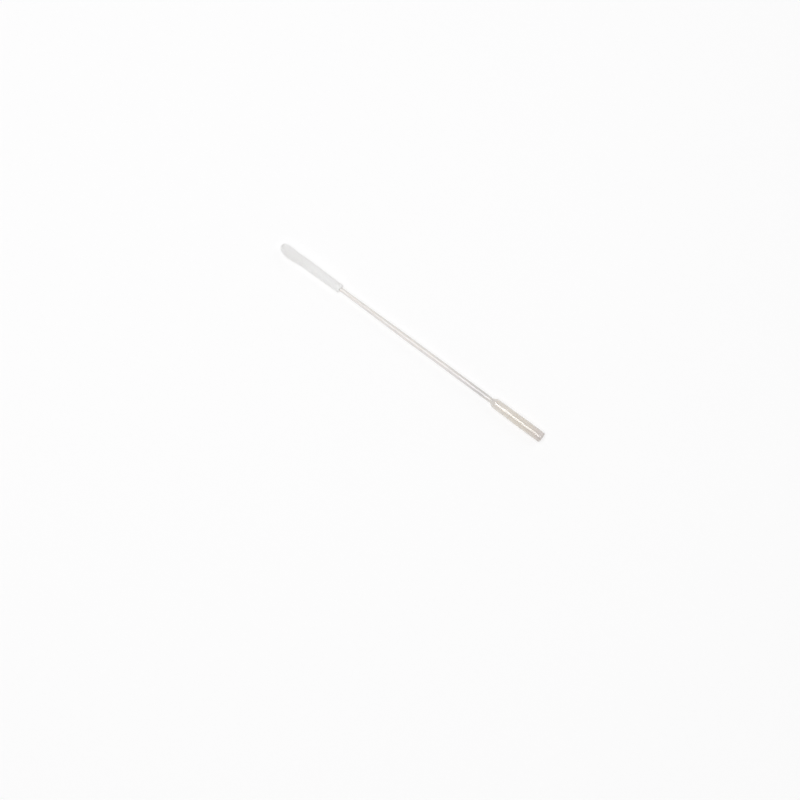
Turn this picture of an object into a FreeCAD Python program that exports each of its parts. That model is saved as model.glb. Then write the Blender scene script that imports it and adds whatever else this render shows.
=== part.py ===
# Flocked specimen swab: one moulded plastic handle that snaps at a notch, and a nap of nylon fibres
# flocked onto its front end.
#
# Both pieces are turned shapes, so each is half an outline revolved about X. Stations along X are
# counted from the front of the nap. The finished swab lies on its side on the ground, where the fat
# front of the nap and the rear of the grip both touch it.

import FreeCAD, Part

import math
import os

import Sketcher

PARTS_FOLDER = "parts"
SHEET = "Dimensions"

# Driving dimensions in millimetres, from the front of the swab to its free end.
DIMENSIONS = [
    ("fibre_length", 0.8, "the nap stands this far off the handle all over"),
    ("nap_length", 23.5, "front of the nap to its last fibres"),
    ("nap_round", 0.5, "radius where the last fibres fan out over the neck"),
    ("nose_diameter", 1.4, "round of the very front of the handle, inside the nap"),
    ("bulb_diameter", 2.04, "the bulb where it is fattest, behind its nose"),
    ("bulb_rise", 2.8, "front of the nose to where the bulb is fattest"),
    ("bulb_fall", 4.1, "fattest part of the bulb to where it has thinned down to the core"),
    ("core_diameter", 1.65, "handle behind the bulb, inside the nap"),
    ("neck_diameter", 1.32, "thin flexible stretch behind the nap"),
    ("neck_length", 4.2, "last fibres to where the neck starts to thicken"),
    ("taper_length", 21.2, "long taper from the neck up to the shaft"),
    ("shaft_diameter", 1.7, "plain shaft up to the snap notch"),
    ("shaft_length", 32.0, "end of the taper to the mouth of the notch"),
    ("notch_width", 0.3, "mouth of the V notch that the shaft snaps at"),
    ("notch_depth", 0.15, "depth of the V notch"),
    ("notch_land", 0.1, "plain shaft between the notch and the shoulder"),
    ("shoulder_length", 1.0, "cone that widens the shaft to the grip"),
    ("shoulder_round", 0.8, "radius between the cone and the grip"),
    ("grip_front_diameter", 3.05, "thick end held between the fingers, where the cone meets it"),
    ("grip_taper_length", 11.0, "front of the grip, which widens a little"),
    ("grip_diameter", 3.25, "straight rear of the grip"),
    ("grip_length", 6.7, "straight rear of the grip, as far as the free end"),
    ("end_round", 0.55, "radius round the free end"),
]


def cell(alias):
    return SHEET + "." + alias


def half(alias):
    return cell(alias) + " / 2"


def total(*terms):
    return " + ".join(terms)


# Stations that follow from the driving dimensions, as expressions on the sheet.
ON_AXIS = "0"
NAP_FRONT = "0"
NOSE_START = cell("fibre_length")
NOSE_CENTRE = total(NOSE_START, half("nose_diameter"))
BULB_PEAK = total(NOSE_START, cell("bulb_rise"))
BULB_END = total(BULB_PEAK, cell("bulb_fall"))
NAP_END = cell("nap_length")
NECK_END = total(NAP_END, cell("neck_length"))
TAPER_END = total(NECK_END, cell("taper_length"))
NOTCH_START = total(TAPER_END, cell("shaft_length"))
NOTCH_ROOT = total(NOTCH_START, half("notch_width"))
SHOULDER_START = total(NOTCH_START, cell("notch_width"), cell("notch_land"))
SHOULDER_END = total(SHOULDER_START, cell("shoulder_length"))
GRIP_TAPER_END = total(SHOULDER_END, cell("grip_taper_length"))
GRIP_END = total(GRIP_TAPER_END, cell("grip_length"))

# Lying down, the fattest ring of the nap holds the axis higher than the grip does, so the axis drops
# towards the grip.
NAP_RADIUS = total(half("bulb_diameter"), cell("fibre_length"))
REAR_CONTACT = GRIP_END + " - " + cell("end_round")
LIE_ANGLE = "atan((%s - %s) / (%s - (%s)))" % (NAP_RADIUS, half("grip_diameter"), REAR_CONTACT, BULB_PEAK)
LIE_START = "-(%s) / 2" % GRIP_END
LIE_HEIGHT = "(%s) * cos(%s) + (%s) * sin(%s)" % (NAP_RADIUS, LIE_ANGLE, BULB_PEAK, LIE_ANGLE)

# A round is never more than this share of the face that it starts from.
ROUND_SHARE = 0.8

# Places nearer to each other than this, in millimetres, are the same place.
SAME_PLACE = 1e-6


def make_sheet(doc):
    sheet = doc.addObject("Spreadsheet::Sheet", SHEET)
    for row, (alias, size, note) in enumerate(DIMENSIONS, start=1):
        sheet.set("A%d" % row, alias)
        sheet.set("B%d" % row, str(size))
        sheet.set("C%d" % row, note)
        sheet.setAlias("B%d" % row, alias)
    doc.recompute()
    return sheet


def size_of(sheet, expression):
    return float(sheet.evalExpression(expression))


def new_body(doc, name):
    """A body that lies on the ground, with its own X along the swab's axis."""
    body = doc.addObject("PartDesign::Body", name)
    body.Placement = FreeCAD.Placement(FreeCAD.Vector(), FreeCAD.Rotation(FreeCAD.Vector(0, 1, 0), 1))
    body.setExpression("Placement.Rotation.Angle", LIE_ANGLE)
    body.setExpression("Placement.Base.x", LIE_START)
    body.setExpression("Placement.Base.z", LIE_HEIGHT)
    return body


def new_sketch(body, name):
    """A sketch on the body's XZ plane: X runs along the swab, Y is the distance from its axis."""
    plane = [datum for datum in body.Origin.OriginFeatures if datum.Role == "XZ_Plane"][0]
    sketch = body.newObject("Sketcher::SketchObject", name)
    sketch.AttachmentSupport = [(plane, "")]
    sketch.MapMode = "FlatFace"
    return sketch


def pin_point(sketch, sheet, geometry, point, station, distance):
    """Fix a point of the sketch at a station along the swab and a distance from its axis."""
    for axis, crossing_axis, expression in (("X", -2, station), ("Y", -1, distance)):
        if expression == "0":
            sketch.addConstraint(Sketcher.Constraint("PointOnObject", geometry, point, crossing_axis))
            continue
        size = size_of(sheet, expression)
        number = sketch.addConstraint(Sketcher.Constraint("Distance" + axis, -1, 1, geometry, point, size))
        sketch.setExpression("Constraints[%d]" % number, expression)


def add_lines(sketch, sheet, start, start_at, corners):
    """Draw straight lines from a point of the sketch through the corners: (station, distance) each."""
    joint, joint_point = start_at
    for station, distance in corners:
        corner = FreeCAD.Vector(size_of(sheet, station), size_of(sheet, distance), 0)
        line = sketch.addGeometry(Part.LineSegment(start, corner), False)
        sketch.addConstraint(Sketcher.Constraint("Coincident", joint, joint_point, line, 1))
        pin_point(sketch, sheet, line, 2, station, distance)
        start = corner
        joint, joint_point = line, 2
    return start, joint


def add_arc(sketch, centre, radius, from_angle, to_angle):
    circle = Part.Circle(centre, FreeCAD.Vector(0, 0, 1), radius)
    return sketch.addGeometry(Part.ArcOfCircle(circle, from_angle, to_angle), False)


def draw_bullet_nosed(sketch, sheet, nose, nose_centre, peak, corners):
    """A round nose on the axis, a long arc that swells smoothly from it up to the peak, straight lines
    through the corners, and back along the axis. The peak and the corners are (station, distance)."""
    centre = size_of(sheet, nose_centre)
    nose_radius = centre - size_of(sheet, nose)
    station, distance = (size_of(sheet, expression) for expression in peak)
    run = station - centre
    swell_radius = (run ** 2 + distance ** 2 - nose_radius ** 2) / (2 * (distance - nose_radius))
    lean = math.asin(run / (swell_radius - nose_radius))
    nose_arc = add_arc(sketch, FreeCAD.Vector(centre, 0, 0), nose_radius, math.pi / 2 + lean, math.pi)
    pin_point(sketch, sheet, nose_arc, 3, nose_centre, ON_AXIS)
    pin_point(sketch, sheet, nose_arc, 2, nose, ON_AXIS)
    swell_centre = FreeCAD.Vector(station, distance - swell_radius, 0)
    swell = add_arc(sketch, swell_centre, swell_radius, math.pi / 2, math.pi / 2 + lean)
    pin_point(sketch, sheet, swell, 1, *peak)
    sketch.addConstraint(Sketcher.Constraint("Vertical", swell, 1, swell, 3))
    sketch.addConstraint(Sketcher.Constraint("Tangent", swell, 2, nose_arc, 1))
    last, line = add_lines(sketch, sheet, FreeCAD.Vector(station, distance, 0), (swell, 1), corners)
    tip = FreeCAD.Vector(centre - nose_radius, 0, 0)
    closing = sketch.addGeometry(Part.LineSegment(last, tip), False)
    sketch.addConstraint(Sketcher.Constraint("Coincident", line, 2, closing, 1))
    sketch.addConstraint(Sketcher.Constraint("Coincident", closing, 2, nose_arc, 2))


def draw_triangle(sketch, sheet, corners):
    """Three straight lines through three corners: (station, distance) each."""
    places = [FreeCAD.Vector(size_of(sheet, station), size_of(sheet, distance), 0)
              for station, distance in corners]
    for side in range(3):
        sketch.addGeometry(Part.LineSegment(places[side], places[(side + 1) % 3]), False)
    for side, (station, distance) in enumerate(corners):
        sketch.addConstraint(Sketcher.Constraint("Coincident", side, 2, (side + 1) % 3, 1))
        pin_point(sketch, sheet, side, 1, station, distance)


def turn(doc, body, kind, name, sketch):
    """Revolve a sketch a full turn about the swab's axis, to add (Revolution) or cut (Groove)."""
    feature = body.newObject("PartDesign::" + kind, name)
    feature.Profile = sketch
    feature.ReferenceAxis = (sketch, ["H_Axis"])
    feature.Angle = 360
    doc.recompute()
    return feature


def ring_edge(sheet, shape, station, distance):
    """The name of the circular edge at a station and a distance from the axis."""
    wanted = (size_of(sheet, station), size_of(sheet, distance))
    for number, edge in enumerate(shape.Edges, start=1):
        if edge.Degenerated or not isinstance(edge.Curve, Part.Circle):
            continue
        found = (edge.Curve.Center.x, edge.Curve.Radius)
        if math.dist(wanted, found) < SAME_PLACE:
            return "Edge%d" % number
    raise ValueError("no ring edge at station %.3f, distance %.3f" % wanted)


def round_ring(doc, body, sheet, name, station, distance, radius):
    """Round the circular edge that the body's last feature has at a station."""
    base = body.Tip
    fillet = body.newObject("PartDesign::Fillet", name)
    fillet.Base = (base, [ring_edge(sheet, base.Shape, station, distance)])
    fillet.setExpression("Radius", radius)
    doc.recompute()


def cut_notch(doc, body, sheet):
    """The V notch. Its mouth is drawn as far outside the shaft as its root is inside."""
    whole = body.Tip.Shape.Volume
    sketch = new_sketch(body, "NotchOutline")
    outside = total(half("shaft_diameter"), cell("notch_depth"))
    inside = half("shaft_diameter") + " - " + cell("notch_depth")
    draw_triangle(sketch, sheet, [
        (NOTCH_ROOT + " - " + cell("notch_width"), outside),
        (NOTCH_ROOT, inside),
        (total(NOTCH_ROOT, cell("notch_width")), outside),
    ])
    notch = turn(doc, body, "Groove", "SnapNotch", sketch)
    if notch.Shape.Volume >= whole:
        raise RuntimeError("the snap notch cuts nothing")


def make_handle(doc, sheet):
    """Bulb, core, neck, long taper, shaft, shoulder and grip, moulded in one piece."""
    body = new_body(doc, "Handle")
    sketch = new_sketch(body, "HandleOutline")
    draw_bullet_nosed(sketch, sheet, NOSE_START, NOSE_CENTRE, (BULB_PEAK, half("bulb_diameter")), [
        (BULB_END, half("core_diameter")),
        (NAP_END, half("neck_diameter")),
        (NECK_END, half("neck_diameter")),
        (TAPER_END, half("shaft_diameter")),
        (SHOULDER_START, half("shaft_diameter")),
        (SHOULDER_END, half("grip_front_diameter")),
        (GRIP_TAPER_END, half("grip_diameter")),
        (GRIP_END, half("grip_diameter")),
        (GRIP_END, ON_AXIS),
    ])
    turn(doc, body, "Revolution", "HandleTurned", sketch)
    cut_notch(doc, body, sheet)
    round_ring(doc, body, sheet, "ShoulderRound", SHOULDER_END, half("grip_front_diameter"),
               cell("shoulder_round"))
    end_limit = "%s * %s" % (ROUND_SHARE, half("grip_diameter"))
    end_radius = "min(%s; %s)" % (cell("end_round"), end_limit)
    round_ring(doc, body, sheet, "EndRound", GRIP_END, half("grip_diameter"), end_radius)
    body.Label = "handle"
    return body


def make_flocked_tip(doc, sheet, handle):
    """The nap follows the handle at one fibre's length, and the handle is cut out of it."""
    core_radius = total(half("core_diameter"), cell("fibre_length"))
    end_radius = total(half("neck_diameter"), cell("fibre_length"))
    body = new_body(doc, "NapBlank")
    sketch = new_sketch(body, "NapOutline")
    draw_bullet_nosed(sketch, sheet, NAP_FRONT, NOSE_CENTRE, (BULB_PEAK, NAP_RADIUS), [
        (BULB_END, core_radius),
        (NAP_END, end_radius),
        (NAP_END, ON_AXIS),
    ])
    turn(doc, body, "Revolution", "NapTurned", sketch)
    fan_limit = "%s * %s" % (ROUND_SHARE, cell("fibre_length"))
    fan_radius = "min(%s; %s)" % (cell("nap_round"), fan_limit)
    round_ring(doc, body, sheet, "NapRound", NAP_END, end_radius, fan_radius)
    tip = doc.addObject("Part::Cut", "FlockedTip")
    tip.Base = body
    tip.Tool = handle
    tip.Label = "flocked_tip"
    return tip


def check_document(doc, pieces):
    for item in doc.Objects:
        if "Invalid" in item.State or "Error" in item.State:
            raise RuntimeError("%s failed: %s" % (item.Name, item.State))
    for piece in pieces:
        if piece.Shape.isNull() or not piece.Shape.isValid():
            raise RuntimeError(piece.Label + " has no valid shape")
        if len(piece.Shape.Solids) != 1:
            raise RuntimeError(piece.Label + " is not one solid")


def main():
    doc = FreeCAD.newDocument("FlockedSwab")
    sheet = make_sheet(doc)
    handle = make_handle(doc, sheet)
    tip = make_flocked_tip(doc, sheet, handle)
    doc.recompute()
    check_document(doc, [handle, tip])
    os.makedirs(PARTS_FOLDER, exist_ok=True)
    for piece in (handle, tip):
        piece.Shape.exportStep(os.path.join(PARTS_FOLDER, piece.Label + ".step"))
        print("%s: %.2f mm3" % (piece.Label, piece.Shape.Volume))
    print("snap notch %.2f mm from the front, whole swab %.2f mm long"
          % (size_of(sheet, NOTCH_ROOT), size_of(sheet, GRIP_END)))


main()
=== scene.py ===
import math

import bmesh
import bpy
from mathutils import Matrix, Vector, noise


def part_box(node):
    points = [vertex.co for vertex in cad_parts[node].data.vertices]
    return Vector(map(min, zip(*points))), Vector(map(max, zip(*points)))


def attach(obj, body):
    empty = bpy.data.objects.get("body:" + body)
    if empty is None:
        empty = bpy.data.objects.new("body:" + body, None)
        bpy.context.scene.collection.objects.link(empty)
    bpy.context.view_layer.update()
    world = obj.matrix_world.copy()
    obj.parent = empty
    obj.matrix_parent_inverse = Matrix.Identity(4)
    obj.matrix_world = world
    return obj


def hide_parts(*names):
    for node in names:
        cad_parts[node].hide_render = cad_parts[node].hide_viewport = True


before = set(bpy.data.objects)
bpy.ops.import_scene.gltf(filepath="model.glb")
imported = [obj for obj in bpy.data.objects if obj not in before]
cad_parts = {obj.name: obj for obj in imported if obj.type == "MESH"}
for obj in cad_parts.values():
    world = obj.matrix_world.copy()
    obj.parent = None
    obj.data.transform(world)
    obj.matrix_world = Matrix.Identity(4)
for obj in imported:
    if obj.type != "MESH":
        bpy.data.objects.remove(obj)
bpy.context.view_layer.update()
mm = 0.001

samePlace = 0.0005     # mm, points nearer to each other than this are merged
onRing = 0.002         # mm, how near to a ring edge its points have to be found
sortDecimals = 5       # decimals of a millimetre that a point keeps when it is sorted by place


def linearColour(hexText):
    channels = [int(hexText[i:i + 2], 16) / 255 for i in (1, 3, 5)]
    return [c / 12.92 if c <= 0.04045 else ((c + 0.055) / 1.055) ** 2.4 for c in channels] + [1.0]


def addNode(tree, kind, settings=None, values=None, links=None):
    node = tree.nodes.new(kind)
    for name, value in (settings or {}).items():
        setattr(node, name, value)
    for name, value in (values or {}).items():
        node.inputs[name].default_value = value
    for name, source in (links or {}).items():
        tree.links.new(source, node.inputs[name])
    return node


def newMaterial(name):
    material = bpy.data.materials.new(name)
    material.use_nodes = True
    material.node_tree.nodes.clear()
    return material, material.node_tree


def finishMaterial(tree, shader):
    addNode(tree, "ShaderNodeOutputMaterial", links={"Surface": shader.outputs[0]})


# How the plastic's tint runs along the handle, with painted light and shade in it: (mm from the middle
# of the swab, colour). The grip's cream is the plastic's own. The palest thin neck is painted light
# showing through the thin plastic, and the greying of the shaft towards the notch and the duller free
# end of the grip are painted shade.
handleTintsAndPaintedShade = [(-15, "#e5e1dd"), (12, "#e3dfdc"), (22, "#dad6d4"), (28, "#cdcac8"), (31, "#ddd8d3"),
               (35, "#e0dad2"), (40, "#ddd6cb"), (45, "#dbd3c9"), (48.5, "#d5cdc8"), (50, "#c8c1bd")]


# Moulded polystyrene, natural and unpigmented: milky, glossy, and light soaks a little way into it.
def mouldedPolystyrene():
    material, tree = newMaterial("mouldedPolystyrene")
    place = addNode(tree, "ShaderNodeTexCoord")
    along = addNode(tree, "ShaderNodeSeparateXYZ", links={"Vector": place.outputs["Object"]})
    first, last = handleTintsAndPaintedShade[0][0], handleTintsAndPaintedShade[-1][0]
    stretch = addNode(tree, "ShaderNodeMapRange", values={"From Min": first * mm, "From Max": last * mm},
                      links={"Value": along.outputs["X"]})
    # the ramp paints light and shade along the handle on top of the plastic's own cream: painted light
    # on the thin neck, painted shade by the notch and at the free end
    tintAndPaintedShade = addNode(tree, "ShaderNodeValToRGB", links={"Fac": stretch.outputs["Result"]})
    stops = tintAndPaintedShade.color_ramp.elements
    while len(stops) < len(handleTintsAndPaintedShade):
        stops.new(0.5)
    for stop, (station, colour) in zip(stops, handleTintsAndPaintedShade):
        stop.position = (station - first) / (last - first)
        stop.color = linearColour(colour)
    cloud = addNode(tree, "ShaderNodeTexNoise", values={"Scale": 1 / (5 * mm), "Detail": 2.0},
                    links={"Vector": place.outputs["Object"]})    # flow clouds about 5 mm across
    faint = addNode(tree, "ShaderNodeMapRange", values={"To Min": 0.0, "To Max": 0.12},
                    links={"Value": cloud.outputs["Fac"]})
    colour = addNode(tree, "ShaderNodeMix", {"data_type": "RGBA"}, {"B": linearColour("#e2ded8")},
                     {"Factor": faint.outputs["Result"], "A": tintAndPaintedShade.outputs["Color"]})
    polish = addNode(tree, "ShaderNodeTexNoise", values={"Scale": 1 / (3 * mm), "Detail": 2.0},
                     links={"Vector": place.outputs["Object"]})    # the mould's polish, patchy over 3 mm
    gloss = addNode(tree, "ShaderNodeMapRange", values={"To Min": 0.15, "To Max": 0.17},
                    links={"Value": polish.outputs["Fac"]})    # roughness
    ripple = addNode(tree, "ShaderNodeTexNoise", values={"Scale": 1 / (0.9 * mm), "Detail": 1.0},
                     links={"Vector": place.outputs["Object"]})    # cooling ripples about 0.9 mm across
    bump = addNode(tree, "ShaderNodeBump", values={"Strength": 0.4, "Distance": 0.02 * mm},
                   links={"Height": ripple.outputs["Fac"]})
    shader = addNode(tree, "ShaderNodeBsdfPrincipled",
                     values={"IOR": 1.59, "Specular IOR Level": 0.8, "Subsurface Weight": 0.5,
                             "Subsurface Radius": (1.0, 0.95, 0.88), "Subsurface Scale": 1 * mm},
                     links={"Base Color": colour.outputs["Result"], "Roughness": gloss.outputs["Result"],
                            "Normal": bump.outputs["Normal"]})
    finishMaterial(tree, shader)
    return material


# Nylon flock: short white fibres set on end. No gloss from a step away, and a soft pale rim. It is a
# little greyer at its front than where it ends on the neck.
def nylonFlock():
    material, tree = newMaterial("nylonFlock")
    place = addNode(tree, "ShaderNodeTexCoord")
    tuft = addNode(tree, "ShaderNodeTexNoise", values={"Scale": 1 / (0.7 * mm), "Detail": 2.0},
                   links={"Vector": place.outputs["Object"]})    # tufts about 0.7 mm across
    white = addNode(tree, "ShaderNodeMix", {"data_type": "RGBA"},
                    {"A": linearColour("#f4f3f1"), "B": linearColour("#fcfbf9")},
                    {"Factor": tuft.outputs["Fac"]})
    along = addNode(tree, "ShaderNodeSeparateXYZ", links={"Vector": place.outputs["Object"]})
    greying = addNode(tree, "ShaderNodeMapRange",
                      values={"From Min": -48 * mm, "From Max": -36 * mm, "To Min": 0.35, "To Max": 0.0},
                      links={"Value": along.outputs["X"]})
    colour = addNode(tree, "ShaderNodeMix", {"data_type": "RGBA"}, {"B": linearColour("#e8e8e8")},
                     {"Factor": greying.outputs["Result"], "A": white.outputs["Result"]})
    ends = addNode(tree, "ShaderNodeTexNoise", values={"Scale": 1 / (0.09 * mm), "Detail": 2.0},
                   links={"Vector": place.outputs["Object"]})    # fibre ends, three times as coarse
    bump = addNode(tree, "ShaderNodeBump", values={"Strength": 0.6, "Distance": 0.03 * mm},
                   links={"Height": ends.outputs["Fac"]})
    shader = addNode(tree, "ShaderNodeBsdfPrincipled",
                     values={"Roughness": 0.85, "IOR": 1.53,
                             "Sheen Weight": 0.3, "Sheen Roughness": 0.5,
                             "Subsurface Weight": 1.0, "Subsurface Radius": (1.0, 1.0, 1.0),
                             "Subsurface Scale": 0.25 * mm},
                     links={"Base Color": colour.outputs["Result"], "Normal": bump.outputs["Normal"]})
    finishMaterial(tree, shader)
    return material


# Opal acrylic sheet: even, matt and white, and lit a little from below, so shadows on it stay faint.
def opalAcrylic():
    material, tree = newMaterial("opalAcrylic")
    shader = addNode(tree, "ShaderNodeBsdfPrincipled",
                     values={"Base Color": linearColour("#b4b4b4"), "Roughness": 0.9,
                             "Specular IOR Level": 0.1, "Emission Color": linearColour("#ffffff"),
                             "Emission Strength": 0.55})
    finishMaterial(tree, shader)
    return material


# The spin gives its points and faces in another order on each run, and the fibres are scattered by
# that order. Sorting them by place makes every run the same.
def sortByPlace(bm):
    places = {vert: tuple(round(c, sortDecimals) for c in vert.co) for vert in bm.verts}
    outlines = []
    for face in bm.faces:
        outline = [places[vert] for vert in face.verts]
        first = outline.index(min(outline))
        outlines.append(outline[first:] + outline[:first])
    sortedBm = bmesh.new()
    verts = {place: sortedBm.verts.new(place) for place in sorted(places.values())}
    for outline in sorted(outlines):
        sortedBm.faces.new([verts[place] for place in outline])
    bm.free()
    return sortedBm


def turnOutline(corners, steps):    # corners are (mm along the swab, mm from its axis)
    bm = bmesh.new()
    verts = [bm.verts.new((along, 0, out)) for along, out in corners]
    edges = [bm.edges.new(pair) for pair in zip(verts, verts[1:])]
    bmesh.ops.spin(bm, geom=verts + edges, cent=(0, 0, 0), axis=(1, 0, 0), angle=math.tau, steps=steps,
                   use_merge=True)
    bmesh.ops.remove_doubles(bm, verts=bm.verts, dist=samePlace)
    bmesh.ops.recalc_face_normals(bm, faces=bm.faces)
    return sortByPlace(bm)


def isOnRing(vert, along, out):
    return abs(vert.co.x - along) < onRing and abs(math.hypot(vert.co.y, vert.co.z) - out) < onRing


def roundRing(bm, along, out, offset, steps):    # rounds the ring edge at a place along the swab
    ring = [edge for edge in bm.edges if all(isOnRing(vert, along, out) for vert in edge.verts)]
    bmesh.ops.bevel(bm, geom=ring, offset=offset, offset_type="OFFSET", segments=steps, profile=0.5,
                    affect="EDGES", material=-1)


def splitLong(bm, longest):    # rings round the swab, so that its long faces keep their own shading
    while True:
        tooLong = [edge for edge in bm.edges if abs(edge.verts[0].co.x - edge.verts[1].co.x) > longest]
        if not tooLong:
            break
        bmesh.ops.subdivide_edges(bm, edges=tooLong, cuts=1)


def arcPoints(centre, radius, startTurn, endTurn, steps):
    turns = [math.radians(startTurn + (endTurn - startTurn) * i / steps) for i in range(steps + 1)]
    return [(centre[0] + radius * math.cos(a), centre[1] + radius * math.sin(a)) for a in turns]


# Front of the handle and of the nap: a round nose and a long arc that swells smoothly from it up to
# the fattest ring. How far it stands inside that line is given in mm.
def bulletNose(noseAt, noseRadius, peakAt, peakRadius, inside, steps):
    run = peakAt - noseAt
    swellRadius = (run ** 2 + peakRadius ** 2 - noseRadius ** 2) / (2 * (peakRadius - noseRadius))
    lean = math.degrees(math.asin(run / (swellRadius - noseRadius)))
    nose = arcPoints((noseAt, 0), noseRadius - inside, 180, 90 + lean, steps)
    swell = arcPoints((peakAt, peakRadius - swellRadius), swellRadius - inside, 90 + lean, 90, steps)
    return nose + swell[1:]


def newPiece(name, bm, material, smoothUnder=35):    # degrees; sharper edges stay sharp
    mesh = bpy.data.meshes.new(name)
    bm.to_mesh(mesh)
    bm.free()
    mesh.materials.append(material)
    mesh.shade_smooth()
    mesh.set_sharp_from_angle(angle=math.radians(smoothUnder))
    piece = bpy.data.objects.new(name, mesh)
    bpy.context.scene.collection.objects.link(piece)
    return piece


# Handle, in mm from the front of the nap.
handle = {
    "noseAt": 1.5, "noseRadius": 0.7,
    "bulbPeak": 3.6, "bulbRadius": 1.02, "bulbEnd": 7.7, "coreRadius": 0.825,
    "napEnd": 23.5, "neckRadius": 0.66, "neckEnd": 27.7,
    "taperEnd": 48.9, "shaftRadius": 0.85,
    "notchAt": 81.05, "notchWidth": 0.3, "notchDepth": 0.15, "shoulderStart": 81.3,
    "shoulderEnd": 82.3, "gripFrontRadius": 1.525,
    "gripTaperEnd": 93.3, "gripRadius": 1.625, "gripEnd": 100.0,
    "shoulderRound": 0.24, "endRound": 0.55,    # how far back from the edge each round starts
    "roundSteps": 6, "noseSteps": 8, "turnSteps": 96, "ringSpacing": 0.8,
}


def makeHandle(material):
    h = handle
    nose = bulletNose(h["noseAt"], h["noseRadius"], h["bulbPeak"], h["bulbRadius"], 0, h["noseSteps"])
    notchRoot = h["shaftRadius"] - h["notchDepth"]
    corners = nose + [
        (h["bulbEnd"], h["coreRadius"]),
        (h["napEnd"], h["neckRadius"]),
        (h["neckEnd"], h["neckRadius"]),
        (h["taperEnd"], h["shaftRadius"]),
        (h["notchAt"] - h["notchWidth"] / 2, h["shaftRadius"]),
        (h["notchAt"], notchRoot),
        (h["notchAt"] + h["notchWidth"] / 2, h["shaftRadius"]),
        (h["shoulderStart"], h["shaftRadius"]),
        (h["shoulderEnd"], h["gripFrontRadius"]),
        (h["gripTaperEnd"], h["gripRadius"]),
        (h["gripEnd"], h["gripRadius"]),
        (h["gripEnd"], 0),
    ]
    bm = turnOutline(corners, h["turnSteps"])
    roundRing(bm, h["shoulderEnd"], h["gripFrontRadius"], h["shoulderRound"], h["roundSteps"])
    roundRing(bm, h["gripEnd"], h["gripRadius"], h["endRound"], h["roundSteps"])
    splitLong(bm, h["ringSpacing"])
    bm = sortByPlace(bm)    # again, because rounding and splitting change the order
    bm.transform(layDown)
    piece = newPiece("handle_moulding", bm, material)
    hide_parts("handle")
    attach(piece, "root")
    print("handle:", len(piece.data.polygons), "faces")


# Nap, in mm from its front.
nap = {
    "noseAt": 1.5, "noseRadius": 1.5, "bulbPeak": 3.6, "bulbRadius": 1.82,
    "bulbEnd": 7.7, "coreRadius": 1.625, "end": 23.5, "endRadius": 1.46, "endRound": 0.5,
    "pileDepth": 0.15,       # the loose fibre ends stand on a felt this far inside the nap
    "noseSteps": 10, "endSteps": 5, "turnSteps": 80, "ringSpacing": 0.2,
    "lumpSize": 2.2, "lumpHeight": 0.03, "tuftSize": 0.45, "tuftHeight": 0.01,
    "bulgeSide": 0.33, "bulgeSideAt": 4.2,    # its fat part sits this far off centre, most at 4.2 mm
    "bulgeSideFront": 4.2, "bulgeSideRear": 6.0,    # and fades out over these lengths
    "fibreRadius": 0.018, "fibreLength": 0.22, "fibreSides": 3, "fibreCount": 16000,
    "fibreThickness": (0.8, 1.2), "fibreStretch": (0.72, 1.12),    # least and most, times the above
    "fibreLean": 30, "fibreSeed": 10,    # degrees; another seed plants them elsewhere
}

# How the swab lies: its axis drops a little towards the grip, because the fattest ring of the nap and
# the thinner rear of the grip both touch the floor.
lieAngle = math.atan((nap["bulbRadius"] - handle["gripRadius"])
                     / (handle["gripEnd"] - handle["endRound"] - nap["bulbPeak"]))
axisHeight = (nap["bulbRadius"] * math.cos(lieAngle) + nap["bulbPeak"] * math.sin(lieAngle)) * mm
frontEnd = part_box("flocked_tip")[0].x
layDown = (Matrix.Translation((frontEnd, 0, axisHeight)) @ Matrix.Rotation(lieAngle, 4, "Y")
           @ Matrix.Scale(mm, 4))    # from millimetres along the swab to metres on the floor


def makeNapGround():    # the felt that the loose fibre ends stand on
    n = nap
    inside = n["pileDepth"]
    front = bulletNose(n["noseAt"], n["noseRadius"], n["bulbPeak"], n["bulbRadius"], inside,
                       n["noseSteps"])
    rear = arcPoints((n["end"] - n["endRound"], n["endRadius"] - n["endRound"]),
                     n["endRound"] - inside, 90, 0, n["endSteps"])
    corners = front + [(n["bulbEnd"], n["coreRadius"] - inside)] + rear + [(n["end"] - inside, 0)]
    bm = turnOutline(corners, n["turnSteps"])
    splitLong(bm, n["ringSpacing"])
    return bm


def roughen(bm):
    n = nap
    elsewhere = Vector((7, 3, 5))    # so that the tufts don't follow the lumps
    bm.normal_update()
    moves = []
    for vert in bm.verts:
        lump = noise.noise(vert.co / n["lumpSize"]) * n["lumpHeight"]
        tuft = noise.noise(vert.co / n["tuftSize"] + elsewhere) * n["tuftHeight"]
        moves.append(vert.normal * (lump + tuft))
    for vert, move in zip(bm.verts, moves):
        vert.co += move


def bulgeToOneSide(bm):
    n = nap
    for vert in bm.verts:
        along = vert.co.x - n["bulgeSideAt"]
        reach = n["bulgeSideFront"] if along < 0 else n["bulgeSideRear"]
        vert.co.y -= n["bulgeSide"] * (1 + math.cos(math.pi * min(abs(along) / reach, 1.0))) / 2


def makeFibre(material):    # one tapered fibre, standing on the origin
    bm = bmesh.new()
    length = nap["fibreLength"] * mm
    bmesh.ops.create_cone(bm, cap_ends=False, segments=nap["fibreSides"],
                          radius1=nap["fibreRadius"] * mm, radius2=0, depth=length)
    bmesh.ops.translate(bm, verts=bm.verts, vec=(0, 0, length / 2))
    return newPiece("fibrePattern", bm, material, smoothUnder=80)


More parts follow.
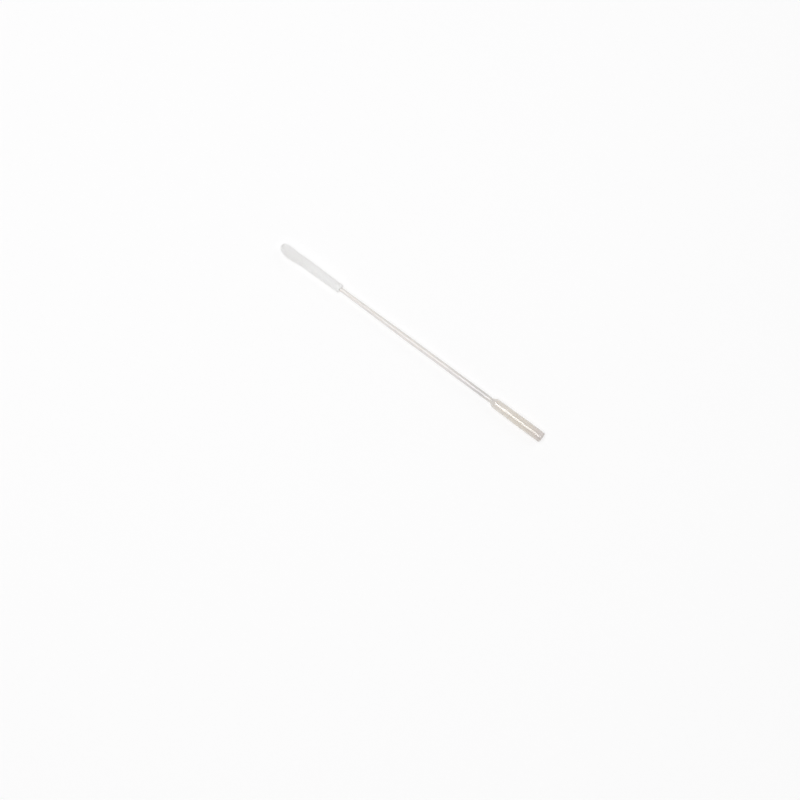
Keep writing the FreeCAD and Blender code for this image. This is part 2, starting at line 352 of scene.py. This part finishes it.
def plantFibres(ground, fibre, name, material):
    seed = nap["fibreSeed"]
    tree = bpy.data.node_groups.new(name, "GeometryNodeTree")
    tree.interface.new_socket("Geometry", in_out="INPUT", socket_type="NodeSocketGeometry")
    tree.interface.new_socket("Geometry", in_out="OUTPUT", socket_type="NodeSocketGeometry")
    start = addNode(tree, "NodeGroupInput")
    area = sum(face.area for face in ground.data.polygons)
    points = addNode(tree, "GeometryNodeDistributePointsOnFaces",
                     values={"Density": nap["fibreCount"] / area, "Seed": seed},
                     links={"Mesh": start.outputs[0]})
    source = addNode(tree, "GeometryNodeObjectInfo", values={"Object": fibre})
    lean = math.radians(nap["fibreLean"])
    leaning = addNode(tree, "FunctionNodeRandomValue", {"data_type": "FLOAT_VECTOR"},
                      {"Min": (-lean, -lean, -math.pi), "Max": (lean, lean, math.pi), "Seed": seed + 1})
    turned = addNode(tree, "FunctionNodeRotateRotation", {"rotation_space": "LOCAL"},
                     links={"Rotation": points.outputs["Rotation"],
                            "Rotate By": leaning.outputs["Value"]})
    thinnest, thickest = nap["fibreThickness"]
    shortest, longest = nap["fibreStretch"]
    sized = addNode(tree, "FunctionNodeRandomValue", {"data_type": "FLOAT_VECTOR"},
                    {"Min": (thinnest, thinnest, shortest), "Max": (thickest, thickest, longest),
                     "Seed": seed + 2})
    planted = addNode(tree, "GeometryNodeInstanceOnPoints",
                      links={"Points": points.outputs["Points"], "Instance": source.outputs["Geometry"],
                             "Rotation": turned.outputs["Rotation"], "Scale": sized.outputs["Value"]})
    real = addNode(tree, "GeometryNodeRealizeInstances", links={"Geometry": planted.outputs[0]})
    addNode(tree, "NodeGroupOutput", links={"Geometry": real.outputs[0]})
    grower = ground.copy()
    bpy.context.scene.collection.objects.link(grower)
    grower.modifiers.new("fibres", "NODES").node_group = tree
    bpy.context.view_layer.update()
    evaluated = grower.evaluated_get(bpy.context.evaluated_depsgraph_get())
    mesh = bpy.data.meshes.new_from_object(evaluated)
    bpy.data.objects.remove(grower)
    for vert in mesh.vertices:
        vert.co.z = max(vert.co.z, 0.0)    # no fibre goes through the floor
    mesh.name = name
    mesh.materials.clear()
    mesh.materials.append(material)
    piece = bpy.data.objects.new(name, mesh)
    bpy.context.scene.collection.objects.link(piece)
    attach(piece, "root")
    print("fibres:", len(mesh.polygons), "faces")


def makeNap(material):
    bm = makeNapGround()
    roughen(bm)
    bulgeToOneSide(bm)
    bm.transform(layDown)
    ground = newPiece("flock_felt", bm, material, smoothUnder=180)
    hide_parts("flocked_tip")
    print("felt:", len(ground.data.polygons), "faces")
    fibre = makeFibre(material)
    plantFibres(ground, fibre, "flock_fibres", material)
    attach(ground, "root")
    bpy.data.objects.remove(fibre)


floorAcross = 6.0    # m


def makeFloor():
    bm = bmesh.new()
    bmesh.ops.create_grid(bm, x_segments=1, y_segments=1, size=floorAcross / 2)
    floor = newPiece("floor", bm, opalAcrylic())
    print("floor: one sheet,", floorAcross, "m across")


def aim(thing, target):
    direction = Vector(target) - thing.location
    thing.rotation_euler = direction.to_track_quat("-Z", "Y").to_euler()


# A broad soft lamp almost over the swab, a weaker one across it, a row of softboxes that draws the
# thin highlight, brightest where the shaft meets the grip, and a pale room that is brightest low down.
studio = {
    # name, W/m2, degrees across, where it shines from
    "lamps": [("overhead", 1.19, 42, (0.0, -0.29, 0.96)),
              ("fill", 0.45, 40, (0.25, 0.72, 0.65))],
    # name, W, colour, m along the swab, m beside it, m long
    "softboxes": [("neckSoftbox", 0.33, "#fbfaff", -0.18, 0.02, 0.12),
                  ("taperSoftbox", 0.1, "#fbfaff", -0.09, 0.03, 0.06),
                  ("shaftSoftbox", 0.22, "#fbfbff", -0.017, 0.0, 0.036),
                  ("gripSoftbox", 0.046, "#fff6e6", 0.0165, -0.165, 0.03),
                  ("endSoftbox", 0.022, "#fff1de", 0.041, -0.19, 0.02)],
    "softboxUp": 0.586, "softboxWide": 0.24,    # m
    # how bright the room is at the horizon and overhead, and the sine of the angle up to which it fades
    "roomColour": "#fdfdfd", "roomLow": 0.95, "roomHigh": 0.22, "roomHighFrom": 0.6,
}


def lightStudio():
    s = studio
    for name, strength, spread, place in s["lamps"]:
        lamp = bpy.data.objects.new(name, bpy.data.lights.new(name, "SUN"))
        lamp.data.energy = strength
        lamp.data.angle = math.radians(spread)
        lamp.location = place
        aim(lamp, (0, 0, 0))
        bpy.context.scene.collection.objects.link(lamp)
    for name, power, colour, along, beside, length in s["softboxes"]:
        softbox = bpy.data.objects.new(name, bpy.data.lights.new(name, "AREA"))
        softbox.data.shape = "RECTANGLE"
        softbox.data.size, softbox.data.size_y = length, s["softboxWide"]
        softbox.data.energy = power
        softbox.data.color = linearColour(colour)[:3]
        softbox.location = (along, beside, s["softboxUp"])
        aim(softbox, (along, 0, 0))
        bpy.context.scene.collection.objects.link(softbox)
    world = bpy.data.worlds.new("room")
    world.use_nodes = True
    tree = world.node_tree
    tree.nodes.clear()
    place = addNode(tree, "ShaderNodeTexCoord")
    height = addNode(tree, "ShaderNodeSeparateXYZ", links={"Vector": place.outputs["Generated"]})
    glow = addNode(tree, "ShaderNodeMapRange",
                   values={"From Max": s["roomHighFrom"],
                           "To Min": s["roomLow"], "To Max": s["roomHigh"]},
                   links={"Value": height.outputs["Z"]})
    room = addNode(tree, "ShaderNodeBackground", values={"Color": linearColour(s["roomColour"])},
                   links={"Strength": glow.outputs["Result"]})
    addNode(tree, "ShaderNodeOutputWorld", links={"Surface": room.outputs["Background"]})
    bpy.context.scene.world = world
    print("lights:", len(s["lamps"]), "lamps,", len(s["softboxes"]), "softboxes and the room")


view = {
    "azimuth": 37.4, "elevation": 78.0, "distance": 0.34,    # degrees, degrees, m
    "lens": 50.47, "aimAt": (0.00887, -0.01632, 0.0),        # mm, m
    "clipFrom": 0.01,                                        # m
}


def placeCamera():
    across = math.radians(view["azimuth"])
    up = math.radians(view["elevation"])
    back = Vector((math.sin(across) * math.cos(up), -math.cos(across) * math.cos(up), math.sin(up)))
    camera = bpy.data.objects.new("camera", bpy.data.cameras.new("camera"))
    camera.data.lens = view["lens"]
    camera.data.clip_start = view["clipFrom"]
    camera.location = Vector(view["aimAt"]) + back * view["distance"]
    aim(camera, view["aimAt"])
    bpy.context.scene.collection.objects.link(camera)
    bpy.context.scene.camera = camera
    print("camera:", round(view["distance"] * 1000), "mm away")


placeCamera()
makeHandle(mouldedPolystyrene())
makeNap(nylonFlock())
makeFloor()
lightStudio()
bpy.context.scene.view_settings.view_transform = "Standard"
